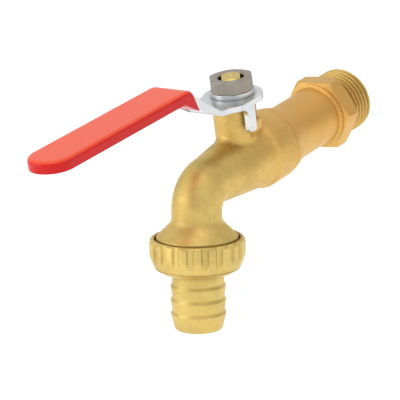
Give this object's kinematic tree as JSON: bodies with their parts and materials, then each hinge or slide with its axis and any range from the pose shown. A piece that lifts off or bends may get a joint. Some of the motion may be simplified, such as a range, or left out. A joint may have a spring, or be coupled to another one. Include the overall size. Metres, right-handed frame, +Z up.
{
  "type": "bibcock",
  "caption": "Brass quarter-turn ball bibcock with a red-sleeved lever, male threaded inlet, union nut and barbed hose tail.",
  "frame": {"origin": "centre of the inlet's end face", "axes": "+Y out of the inlet along its thread, towards the pipe; +Z up along the stem; +X to the side"},
  "size_m": [0.0296, 0.1564, 0.0794],
  "materials": {
    "cast_brass": "satin cast, lightly grained",
    "turned_brass": "turned and bright-dipped",
    "ball_chrome": "polished plating",
    "seat_plastic": "smooth fluoropolymer",
    "seal_rubber": "smooth moulded",
    "zinc_sheet": "zinc-plated pressed sheet",
    "zinc_nut": "dull zinc plating",
    "red_sleeve": "soft dipped vinyl"
  },
  "bodies": {
    "valve": {"valve_body": "cast_brass", "inlet_tailpiece": "turned_brass", "body_seal": "seat_plastic", "inlet_seat": "seat_plastic", "outlet_seat": "seat_plastic", "stem_thrust_washer": "seat_plastic"},
    "lever_set": {"lever": "zinc_sheet", "grip_sleeve": "red_sleeve", "stem": "turned_brass", "ball": "ball_chrome", "handle_nut": "zinc_nut", "lock_washer": "zinc_sheet", "lower_stem_seal": "seal_rubber", "upper_stem_seal": "seal_rubber"},
    "tail": {"hose_tail": "turned_brass", "union_gasket": "seal_rubber"},
    "nut": {"union_nut": "turned_brass"}
  },
  "joints": [
    {"name": "lever_turn", "type": "hinge", "parent": "valve", "child": "lever_set", "pos_m": [0, -0.0612, 0.0206], "axis": [0, 0, 1], "range_deg": [-90, 0]},
    {"name": "tail_drop", "type": "slide", "parent": "valve", "child": "tail", "axis": [0, -0.1631, -0.9866], "range_m": [0, 0.00544]},
    {"name": "nut_turn", "type": "hinge", "parent": "tail", "child": "nut", "pos_m": [0, -0.0852, 0], "axis": [0, -0.1631, -0.9866], "range_deg": [0, 1090]}
  ],
  "couplings": [
    {"joint": "nut_turn", "follows": "tail_drop", "rad_per_m": 3463.7}
  ]
}
